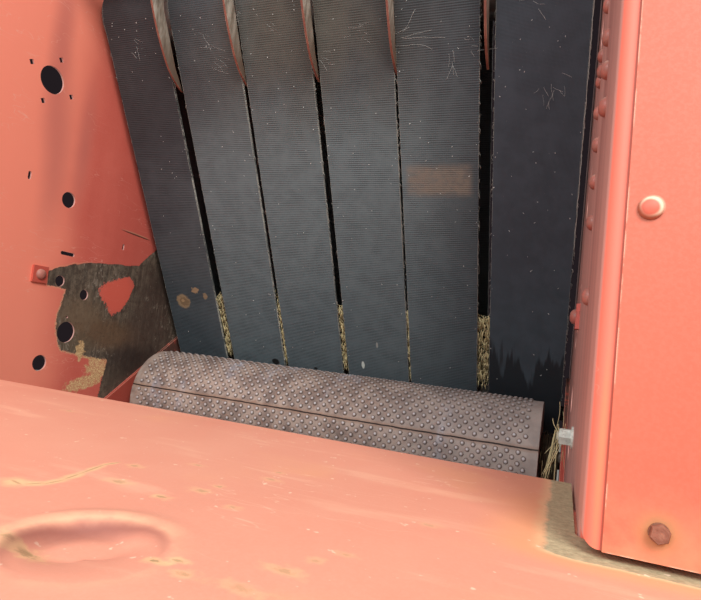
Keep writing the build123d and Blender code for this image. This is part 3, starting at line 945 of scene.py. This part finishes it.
# %% Helpers for small pieces
class Stock:
    """Gathers the corners and faces of one piece."""

    def __init__(self):
        self.corners = []
        self.faces = []

    def add(self, corners, faces):
        start = len(self.corners)
        self.corners += [tuple(corner) for corner in corners]
        self.faces += [tuple(start + i for i in face) for face in faces]

    def make(self, name, material, body, smooth=True):
        mesh = bpy.data.meshes.new(name)
        mesh.from_pydata(self.corners, [], self.faces)
        mesh.materials.append(material)
        if smooth:
            mesh.shade_smooth()
        piece = into_scene(name, mesh)
        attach(piece, body)
        triangles = sum(len(face) - 2 for face in self.faces)
        print(name, triangles, "triangles on", body)


def circle(count):
    """Cosine and sine of equal steps round a circle."""
    return [(math.cos(2 * math.pi * i / count), math.sin(2 * math.pi * i / count)) for i in range(count)]


def facing_along(origin, direction, turn=0.0):
    """Places a piece that was drawn upward so that up becomes the direction."""
    spin = Vector((0, 0, 1)).rotation_difference(Vector(direction)).to_matrix().to_4x4()
    return Matrix.Translation(origin) @ spin @ Matrix.Rotation(turn, 4, "Z")


def turned_shape(stock, profile, sides, place):
    """A round shape from radius and height pairs. A radius of 0 closes it in a point."""
    corners = []
    rings = []
    for radius, height in profile:
        if radius == 0:
            rings.append([len(corners)])
            corners.append(place @ Vector((0, 0, height)))
            continue
        rings.append(list(range(len(corners), len(corners) + sides)))
        corners += [place @ Vector((radius * a, radius * b, height)) for a, b in circle(sides)]
    faces = []
    for low, high in zip(rings, rings[1:]):
        for i in range(sides):
            j = (i + 1) % sides
            if len(high) == 1:
                faces.append((low[i], low[j], high[0]))
            elif len(low) == 1:
                faces.append((low[0], high[j], high[i]))
            else:
                faces.append((low[i], low[j], high[j], high[i]))
    stock.add(corners, faces)


def strand(stock, points, radius, sides, closed=False):
    """A thin tube through the points, for threads, stems and weld beads."""
    points = [Vector(point) for point in points]
    count = len(points)
    corners = []
    side = None
    for i, point in enumerate(points):
        before = points[i - 1] if i or closed else points[i]
        after = points[(i + 1) % count] if i < count - 1 or closed else points[i]
        ahead = (after - before).normalized()
        if side is None:
            side = ahead.orthogonal().normalized()
        side = (side - ahead * side.dot(ahead)).normalized()
        other = ahead.cross(side)
        width = radius(i) if callable(radius) else radius
        corners += [point + (side * a + other * b) * width for a, b in circle(sides)]
    faces = []
    for i in range(count if closed else count - 1):
        j = (i + 1) % count
        for k in range(sides):
            m = (k + 1) % sides
            faces.append((i * sides + k, i * sides + m, j * sides + m, j * sides + k))
    if not closed:
        faces.append(tuple(reversed(range(sides))))
        faces.append(tuple(range((count - 1) * sides, count * sides)))
    stock.add(corners, faces)


# %% [markdown]
# ## The deck's dent and its waves
# Something heavy has dented the deck in its right half: the dent is steep on the far side and runs out
# gently on the near one. The CAD deck is flat there and has no corners to move, so a copy of it is cut
# into a grid, finest round the dent, and its corners are moved. The copy takes the flat deck's place.


# %% Deck with its dent
dent_depth = 0.0078
lip_height = 0.0014
wave_height = 0.0009


def cut_across(mesh, axis, places):
    """Cuts the mesh along planes square to an axis, so that it has corners there."""
    normal = Vector((0, 0, 0))
    normal[axis] = 1
    for place in places:
        everything = mesh.verts[:] + mesh.edges[:] + mesh.faces[:]
        bmesh.ops.bisect_plane(mesh, geom=everything, plane_co=normal * place, plane_no=normal, dist=1e-6)


def steps(start, end, step):
    return [start + i * step for i in range(round((end - start) / step) + 1)]


def lift(point):
    """How far the deck's sheet moves up at a point: the dent, its raised lip and the waves of the sheet."""
    offset = Vector((point.x, point.y, 0.0)) - Vector((dent_center.x, dent_center.y, 0.0))
    distance = offset.length / dent_reach
    back_share = offset.normalized().dot(dent_back) if offset.length > 1e-6 else 0.0
    slope_width = 0.44 - 0.30 * back_share
    share = min(max((1.06 - distance) / (2 * slope_width), 0.0), 1.0)
    dent = -dent_depth * share * share * (3 - 2 * share)
    lip = lip_height * math.exp(-((distance - 1.22) / 0.13) ** 2) * max(0.0, back_share)
    away = min(1.0, max(0.0, (0.60 - abs(point.x)) / 0.15)) * min(1.0, max(0.0, (point.y + 0.85) / 0.10))
    away *= min(1.0, max(0.0, (-0.36 - point.y) / 0.06))
    wave = wave_height * math.sin(point.x * 9.0 + 1.0) * math.sin(point.y * 13.0 + point.x * 4.0)
    return dent + lip + wave * away


grid = bmesh.new()
grid.from_mesh(nodes["front_deck"].data)
deck_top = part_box("front_deck")[1].z
cut_across(grid, 0, steps(-0.56, 0.56, 0.04))
cut_across(grid, 1, steps(-0.84, -0.38, 0.04))
cut_across(grid, 0, steps(0.3175, 0.4295, 0.0032))
cut_across(grid, 1, steps(-0.7985, -0.6865, 0.0032))
for corner_point in grid.verts:
    if corner_point.co.z > deck_top - 0.0055 and -0.85 < corner_point.co.y < -0.362:
        corner_point.co.z += lift(corner_point.co)
bmesh.ops.triangulate(grid, faces=[face for face in grid.faces if len(face.verts) > 4])
bent_mesh = bpy.data.meshes.new("bent_deck")
grid.to_mesh(bent_mesh)
grid.free()
bent_mesh.materials.clear()
bent_mesh.materials.append(deck_paint)
bent_mesh.shade_smooth()
bent_mesh.set_sharp_from_angle(angle=math.radians(28))
bent_deck = into_scene("bent_deck", bent_mesh)
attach(bent_deck, "chamber_frame")
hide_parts("front_deck")
print("bent deck", sum(len(face.vertices) - 2 for face in bent_mesh.polygons), "triangles")

# %% [markdown]
# ## Studs on the drum
# The drum's sheet is pressed full of round studs that carry the bale round. They stand in rows round the
# drum, each row shifted half a step, and leave a smooth band at both ends. They are geometry and not a
# bump, because their outline shows against the belts.

# %% Studs
stud_step = 0.024
stud_rows = 68
stud_profile = ((0.0060, -0.0006), (0.0053, 0.0016), (0.0034, 0.0034), (0, 0.0040))
smooth_end = 0.027
studs = Stock()
for row in range(stud_rows):
    angle = 2 * math.pi * row / stud_rows
    out_way = Vector((0, math.cos(angle), math.sin(angle)))
    if abs(math.remainder(angle - seam_angle, 2 * math.pi)) * drum_radius < 0.006:
        continue
    x = drum_low.x + smooth_end + (stud_step / 2 if row % 2 else 0.0)
    while x < drum_high.x - smooth_end:
        root = Vector((x, drum_axis.y, drum_axis.z)) + out_way * drum_radius
        turned_shape(studs, stud_profile, 8, facing_along(root, out_way))
        x += stud_step
studs.make("drum_studs", stud_steel, "drum_body")


# %% [markdown]
# ## Bolts
# Bearings are held by four square-necked bolts, with round heads inside the wall and nuts outside. The
# front panels and the stop plates have bolts of their own. A bolt is a turned head, a six-sided nut with
# its corners chamfered, and a short threaded end.


# %% Bolt shapes
def dome_head(stock, origin, direction, radius, height, sides=20):
    profile = ((radius, -0.0004), (radius, height * 0.18), (radius * 0.86, height * 0.58),
               (radius * 0.5, height * 0.92), (0, height))
    turned_shape(stock, profile, sides, facing_along(origin, direction))


def hexagon(stock, origin, direction, across_flats, height, turn):
    """Six-sided nut or bolt head. Its top corners are cut round, as the machined ones are."""
    place = facing_along(origin, direction, turn)
    corner = across_flats / math.sqrt(3)
    levels = ((1.0, 0.0), (1.0, height * 0.82), (0.9, height))
    corners = []
    for share, level in levels:
        corners += [place @ Vector((corner * share * a, corner * share * b, level)) for a, b in circle(6)]
    faces = []
    for ring in range(len(levels) - 1):
        for i in range(6):
            j = (i + 1) % 6
            faces.append((ring * 6 + i, ring * 6 + j, ring * 6 + 6 + j, ring * 6 + 6 + i))
    faces.append(tuple(range(len(levels) * 6 - 6, len(levels) * 6)))
    faces.append(tuple(reversed(range(6))))
    stock.add(corners, faces)


def threaded_end(stock, origin, direction, radius, length):
    """Bolt end whose thread is drawn as fine grooves."""
    pitch = 0.0015
    profile = []
    turns = int(length / pitch)
    for i in range(turns):
        profile.append((radius, i * pitch))
        profile.append((radius * 0.88, (i + 0.5) * pitch))
    profile += [(radius * 0.8, turns * pitch), (0, turns * pitch)]
    turned_shape(stock, profile, 12, facing_along(origin, direction))


def washer(stock, origin, direction, radius, thickness):
    profile = ((radius, -0.0002), (radius, thickness), (0, thickness))
    turned_shape(stock, profile, 20, facing_along(origin, direction))


def nut_on_washer(stock, origin, direction, washer_size, nut_size, turn, end_place, end_size):
    """A washer, a nut turned by some angle, and the end of the bolt that comes out of it."""
    way = Vector(direction)
    washer(stock, origin, direction, *washer_size)
    hexagon(stock, origin + way * washer_size[1], direction, *nut_size, turn)
    threaded_end(stock, origin + way * end_place, direction, *end_size)


# %% Bolts of the bearings
bolt_spacing = 0.085
wall_thickness = 0.005
flange_thickness = 0.012
both_walls = ((-1, "left"), (1, "right"))
frame_bolts = Stock()
for side, label in both_walls:
    for shaft in ("upper_roller", "lower_roller", "drum"):
        low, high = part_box(f"{label}_{shaft}_bearing")
        wall_outside = low.x if side > 0 else high.x
        middle = (low + high) / 2
        flange_face = wall_outside + side * flange_thickness
        head_face = wall_outside - side * wall_thickness
        if shaft == "drum":
            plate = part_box(f"{label}_drum_end_plate")
            head_face = plate[0].x if side > 0 else plate[1].x
        for a, b in ((-1, -1), (-1, 1), (1, -1), (1, 1)):
            spot = along_belts * (a * bolt_spacing / 2) + out_of_belts * (b * bolt_spacing / 2)
            inside_end = Vector((head_face, middle.y + spot.y, middle.z + spot.z))
            outside_end = Vector((flange_face, middle.y + spot.y, middle.z + spot.z))
            dome_head(frame_bolts, inside_end, (-side, 0, 0), 0.0115, 0.0055)
            nut_on_washer(frame_bolts, outside_end, (side, 0, 0), (0.0105, 0.002), (0.017, 0.0085),
                          uniform(0, 1), 0.0104, (0.005, 0.006))
frame_bolts.make("bearing_bolts", bolt_steel, "chamber_frame", smooth=False)

# %% Bolts in the right wall, painted over
wall_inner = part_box("right_side_wall")[0].x
right_wall_bolts = (
    (-354, 828), (-296, 643), (-262, 746), (-264, 700), (-354, 552), (-430, 718), (-403, 767),
    (-183, 878), (-153, 878), (-178, 822), (-264, 920), (-147, 919),
)
painted_heads = Stock()
nuts_outside = Stock()
for y, z in right_wall_bolts:
    head = Vector((wall_inner, y / 1000, z / 1000))
    dome_head(painted_heads, head, (-1, 0, 0), 0.009, 0.0065)
    outside = head + Vector((wall_thickness, 0, 0))
    nut_on_washer(nuts_outside, outside, (1, 0, 0), (0.0095, 0.0018), (0.013, 0.0068),
                  uniform(0, 1), 0.0084, (0.004, 0.004))
for side, label in both_walls:
    low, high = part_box(f"{label}_stop_plate")
    face = low.x if side > 0 else high.x
    middle = (low + high) / 2
    dome_head(painted_heads, Vector((face, middle.y, middle.z)), (-side, 0, 0), 0.0125, 0.009)
painted_heads.make("wall_bolt_heads", head_paint, "chamber_frame")
nuts_outside.make("wall_bolt_nuts", bolt_steel, "chamber_frame", smooth=False)

# %% Bolts of the front panels, and the bright nut by the drum
panel_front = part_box("right_front_panel")[0].y
panel_domes = Stock()
panel_hexes = Stock()
for side in (-1, 1):
    dome_head(panel_domes, Vector((side * 0.6295, panel_front, 0.584)), (0, -1, 0), 0.0075, 0.0042, 24)
    low_bolt = Vector((side * 0.6458, panel_front, 0.388))
    washer(panel_hexes, low_bolt, (0, -1, 0), 0.0060, 0.0010)
    hexagon(panel_hexes, low_bolt + Vector((0, -0.0010, 0)), (0, -1, 0), 0.0103, 0.0045, 0.35)
panel_domes.make("panel_round_bolts", panel_paint, "chamber_frame")
rusty_bolt = rusty_metal("rusty_bolt", rgb(120, 72, 54), rgb(158, 104, 84), rgb(186, 140, 118), 70.0)
panel_hexes.make("panel_rusty_bolts", rusty_bolt, "chamber_frame", smooth=False)
zinc = rusty_metal("zinc_nut", rgb(196, 200, 190), rgb(226, 230, 218), rgb(238, 240, 232), 60.0)
zinc_nut = Stock()
nut_face = Vector((wall_inner, -0.189, 0.390))
nut_on_washer(zinc_nut, nut_face, (-1, 0, 0), (0.014, 0.0025), (0.019, 0.0145), 0.52, 0.0165,
              (0.006, 0.0045))
zinc_nut.make("bright_nut", zinc, "chamber_frame", smooth=False)

# %% [markdown]
# ## Weld beads
# The cross tubes, the beam and the guide tube are welded to the walls, and the guides to their tube. A
# weld bead is a thick line of overlapping ripples, so it is a tube along the joint whose radius rises
# and falls every few millimetres.


# %% Beads round tubes
def bead(stock, corners, radius=0.0032, step=0.004):
    """Rippled bead along a closed line through the corners."""
    points = []
    for start, end in zip(corners, corners[1:] + corners[:1]):
        count = max(2, round((end - start).length / step))
        points += [start.lerp(end, i / count) for i in range(count)]

    def ripple(i):
        return radius * (0.82 + 0.3 * abs(math.sin(i * 1.3)) + uniform(0, 0.08))

    strand(stock, points, ripple, 6, closed=True)


weld_beads = Stock()
chamber_half = -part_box("deck_beam")[0].x
for name in ("front_cross_tube", "rear_cross_tube", "top_cross_tube", "deck_beam"):
    low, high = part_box(name)
    for x in (-chamber_half + 0.001, chamber_half - 0.001):
        bead(weld_beads, [Vector((x, low.y, low.z)), Vector((x, high.y, low.z)),
                          Vector((x, high.y, high.z)), Vector((x, low.y, high.z))])
tube_low, tube_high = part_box("guide_tube")
tube_middle = (tube_low + tube_high) / 2
tube_radius = (tube_high.z - tube_low.z) / 2
ring_places = [-chamber_half + 0.001, chamber_half - 0.001]
for name in guide_names:
    low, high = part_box(name)
    ring_places += [low.x - 0.0008, high.x + 0.0008]
for x in ring_places:
    ring = [Vector((x, tube_middle.y + tube_radius * a, tube_middle.z + tube_radius * b))
            for a, b in circle(36)]
    bead(weld_beads, ring, 0.0028, 0.006)
weld_beads.make("weld_beads", red_frame, "chamber_frame")

# %% [markdown]
# ## Loose threads, cobwebs and hay
# Belt edges fray, and the pale threads catch the light. Cobwebs cross the upper belts. Hay is caught
# inside the belts' loops, on the inner face of the front run and on top of the lower roller, and shows
# as a pale strip at the foot of each gap. All are thin strands with no two alike, from a fixed seed.


# %% Helpers for strands
def sideways(low, high):
    """A random shift across the machine."""
    return Vector((uniform(low, high), 0, 0))


def mottled(name, roughness, size, dark, light, bump_size, depth):
    """A dull material of two tones, mottled and bumpy at these sizes, for threads and stems."""
    material = new_material(name)
    Coat(mix(noise(size), dark, light), roughness, noise(bump_size)).finish(depth)
    return material


# %% Frayed belt edges
thread_material = mottled("belt_thread", 0.9, 90.0, rgb(146, 142, 134), rgb(216, 212, 202), 900.0, 0.0002)
threads = Stock()
for left, right in belt_spans:
    for edge_x, outward, count in ((right, 1, 110), (left, -1, 45)):
        for _ in range(count):
            s = uniform(-0.98, 0.02)
            start = on_belt(edge_x - outward * 0.0008, s, -uniform(0.0005, 0.0045))
            reach = uniform(0.0015, 0.0045)
            slide = uniform(-0.016, 0.006)
            end = start + Vector((outward * reach, 0, 0)) + along_belts * slide
            middle = start.lerp(end, 0.5) + Vector((outward * reach * 0.35, 0, 0))
            strand(threads, (start, middle, end), uniform(0.00022, 0.0004), 3)
loose_thread = []
for i in range(60):
    wobble = 0.0004 * math.sin(i * 0.9) + 0.0003 * math.sin(i * 2.3)
    loose_thread.append(on_belt(belt_spans[-1][1] + 0.0011 + wobble, -0.06 - 0.0085 * i, 0.0002))
strand(threads, loose_thread, 0.00065, 4)
threads.make("frayed_threads", thread_material, "chamber_frame")

# %% Cobwebs and lint on the upper belts
web_material = mottled("cobweb", 0.8, 60.0, rgb(176, 174, 168), rgb(232, 230, 224), 900.0, 0.0001)
webs = Stock()
web_starts = (
    # place across and along the belts, and the direction that it runs in, all in millimetres
    (210, -106, 74, 2), (306, -153, 8, 26), (358, -128, 20, 14), (537, -207, 14, 24), (516, -234, -8, 30),
    (-280, -64, 26, 18), (-261, -110, 30, 20), (-198, -30, 22, 12), (-93, -60, 22, 10),
    (-506, -60, 24, 16), (101, -80, 30, 8), (470, -60, 34, 10), (20, -120, 20, 16),
)


def clear_x(x):
    """Nearest place across that lies on a belt and not in a gap."""
    left, right = min(belt_spans, key=lambda span: max(span[0] - x, x - span[1], 0.0))
    return min(max(x, left + 0.004), right - 0.004)


for x, s, run_x, run_s in web_starts:
    for _ in range(5):
        across, along = x / 1000 + uniform(-0.02, 0.02), s / 1000 + uniform(-0.02, 0.02)
        heading = math.atan2(-run_s, run_x) + uniform(-0.6, 0.6)
        stride = math.hypot(run_x, run_s) / 10000 * uniform(0.4, 1.3)
        points = []
        for i in range(11):
            points.append(on_belt(clear_x(across), along, 0.0005))
            heading += uniform(-0.22, 0.22)
            across += stride * math.cos(heading)
            along += stride * math.sin(heading)
        strand(webs, points, uniform(0.00010, 0.00024), 3)
for _ in range(260):
    x = clear_x(uniform(-0.57, 0.585))
    s = -0.95 * random.random() ** 1.6
    start = on_belt(x, s, 0.0003)
    end = start + sideways(-0.003, 0.003) + along_belts * uniform(-0.003, 0.003)
    strand(webs, (start, end), uniform(0.0004, 0.0009), 4)
webs.make("cobwebs_and_lint", web_material, "chamber_frame")

# %% Hay caught inside the belts
hay_material = mottled("dry_hay", 0.85, 70.0, rgb(160, 140, 92), rgb(244, 230, 182), 500.0, 0.0003)
hay = Stock()


def in_loop(x, along, depth):
    """Point inside the loops: depth is measured from the inner face of the front run."""
    axis_point = Vector((x, upper_axis.y, upper_axis.z))
    return axis_point + along_belts * along + out_of_belts * (belt_inner - depth)


hay_half = 0.575
for _ in range(5200):
    x = uniform(-hay_half, hay_half)
    rise = random.random() ** 1.25
    along = -roller_spacing + roller_radius + 0.03 + rise * 0.19
    along += 0.02 * math.sin(x * 23) * rise
    depth = uniform(0.004, 0.012 + 0.06 * (1 - rise))
    bend = uniform(-1.3, 1.3)
    half = uniform(0.006, 0.02)
    way = Vector((math.cos(bend), 0, 0)) + along_belts * math.sin(bend)
    way += out_of_belts * uniform(-0.25, 0.05)
    middle = in_loop(x, along, depth)
    ends = [middle - way * half, middle + way * half]
    kink = middle + sideways(-0.002, 0.002) + along_belts * uniform(-0.002, 0.002)
    if abs(ends[0].x) < hay_half + 0.015 and abs(ends[1].x) < hay_half + 0.015:
        strand(hay, (ends[0], kink, ends[1]), uniform(0.0006, 0.0013), 3)
for (_, left), (right, _) in zip(belt_spans, belt_spans[1:]):
    for _ in range(150):
        x = uniform(left + 0.002, right - 0.002)
        along = -roller_spacing + roller_radius + 0.02 + 0.20 * random.random() ** 1.1
        middle = in_loop(x, along, uniform(-0.003, 0.005))
        way = along_belts + sideways(-0.25, 0.25) + out_of_belts * uniform(-0.2, 0.2)
        half = uniform(0.004, 0.014)
        ends = [middle - way * half, middle + way * half]
        for end in ends:
            end.x = min(max(end.x, left + 0.001), right - 0.001)
        strand(hay, (ends[0], middle, ends[1]), uniform(0.0007, 0.0013), 3)
hay.make("hay_in_belts", hay_material, "chamber_frame")

# %% Old crop and fresh stems wound round the drum's shaft
old_crop = mottled("old_crop", 0.9, 90.0, rgb(34, 26, 20), rgb(96, 78, 54), 500.0, 0.0003)
shaft_radius = 0.020
wound_reach = 0.066
wall_gap = (drum_high.x + 0.003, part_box("right_drum_end_plate")[0].x - 0.006)


def wind(stock, side, count, spread, thick):
    """Winds stems round the shaft, between the drum's end and the plate on the wall."""
    for _ in range(count):
        x = uniform(*wall_gap)
        start = uniform(0, 2 * math.pi)
        sweep = uniform(1.0, 4.0)
        radius = shaft_radius + 0.001 + spread * random.random() ** 1.4
        lean = uniform(-0.014, 0.014)
        loose = uniform(-0.3, 0.3) * spread
        points = []
        for i in range(9):
            angle = start + sweep * i / 8
            far = min(max(radius + loose * (i / 8) ** 2, shaft_radius + 0.001), wound_reach)
            across = min(max(x + lean * i / 8, wall_gap[0]), wall_gap[1]) * side
            points.append(Vector((across, drum_axis.y + far * math.cos(angle),
                                  drum_axis.z + far * math.sin(angle))))
        strand(stock, points, uniform(*thick), 3)


loose_stems = Stock()
hooked = Vector((0.592, -0.189, 0.392))
for _ in range(18):
    start = hooked + Vector((uniform(-0.010, 0.006), uniform(-0.012, 0.012),
                             uniform(-0.004, 0.014)))
    fall = uniform(0.03, 0.075) * random.choice((-1, -1, -1, 0.5))
    end = start + Vector((uniform(-0.022, 0.003), uniform(-0.014, 0.014), fall))
    end.x = min(end.x, 0.600)
    bow = start.lerp(end, 0.5) + Vector((uniform(-0.005, 0.003), uniform(-0.005, 0.005), 0))
    points = []
    for i in range(7):
        share = i / 6
        points.append(start.lerp(bow, share).lerp(bow.lerp(end, share), share))
    strand(loose_stems, points, uniform(0.0003, 0.0005), 3)
loose_stems.make("stems_by_nut", hay_material, "chamber_frame")

wound = Stock()
stems = Stock()
for side in (1, -1):
    wind(wound, side, 700, 0.038, (0.0008, 0.0016))
    wind(stems, side, 34, 0.044, (0.0005, 0.0008))
wound.make("old_crop_round_shaft", old_crop, "drum_body")
stems.make("stems_round_shaft", hay_material, "drum_body")

# %% [markdown]
# ## Floor and light
# The machine stands on a pale grey floor. One large soft lamp in front and to the right does most of the
# lighting, a weaker one from the left opens the shadows, and an even grey world fills the rest. Camera,
# glossy and transmission rays see a near-black backdrop instead: painted shade for the dark inside of the
# machine. Their levels are set so that a colour renders about as it is written.

# %% Floor
floor_material = new_material("grey_floor")
Coat(mix(noise(1.5), rgb(146, 142, 136), rgb(158, 154, 147)), 0.9).finish()
floor_half = 3.2
floor_level = -0.001
floor_corners = [(x * floor_half, y * floor_half, floor_level)
                 for x, y in ((-1, -1), (1, -1), (1, 1), (-1, 1))]
floor_mesh = bpy.data.meshes.new("floor")
floor_mesh.from_pydata(floor_corners, [], [(0, 1, 2, 3)])
floor_mesh.materials.append(floor_material)
floor = into_scene("floor", floor_mesh)
floor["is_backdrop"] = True


# %% Lamps and world
def soft_lamp(name, place, aim, size, watts, tint):
    lamp = bpy.data.lights.new(name, "AREA")
    lamp.shape = "SQUARE"
    lamp.size = size
    lamp.energy = watts
    lamp.color = tint
    made = into_scene(name, lamp)
    made.location = place
    made.rotation_euler = (Vector(aim) - Vector(place)).to_track_quat("-Z", "Y").to_euler()


soft_lamp("key_lamp", (2.2, -3.0, 3.1), (-0.3, 0.0, 0.6), 2.0, 166.0, (1.0, 0.98, 0.94))
soft_lamp("fill_lamp", (-0.5, -3.5, 2.1), (0.3, 0.0, 0.6), 2.0, 72.0, (0.96, 0.98, 1.0))

world = bpy.data.worlds.new("studio")
bpy.context.scene.world = world
world.use_nodes = True
start_tree(world.node_tree)
rays = outputs_of(add("LightPath"))
seen = calc("MAXIMUM", rays["Is Camera Ray"], rays["Is Transmission Ray"])
seen = calc("MAXIMUM", seen, rays["Is Glossy Ray"])
lighting = put("Background", {"Color": (0.93, 0.96, 1.0, 1.0), "Strength": 0.66})
# Painted shade: the near-black backdrop that camera, glossy and transmission rays see stands in for the
# dark inside of the machine.
backdrop = put("Background", {"Color": rgb(34, 28, 31), "Strength": 1.0})
add("OutputWorld", {0: put("MixShader", {0: seen, 1: lighting, 2: backdrop})})
bpy.context.scene.view_settings.view_transform = "Standard"

# %% Write the sizes and finish
low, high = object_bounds()
print("visual size", [round(b - a, 3) for a, b in zip(low, high)])
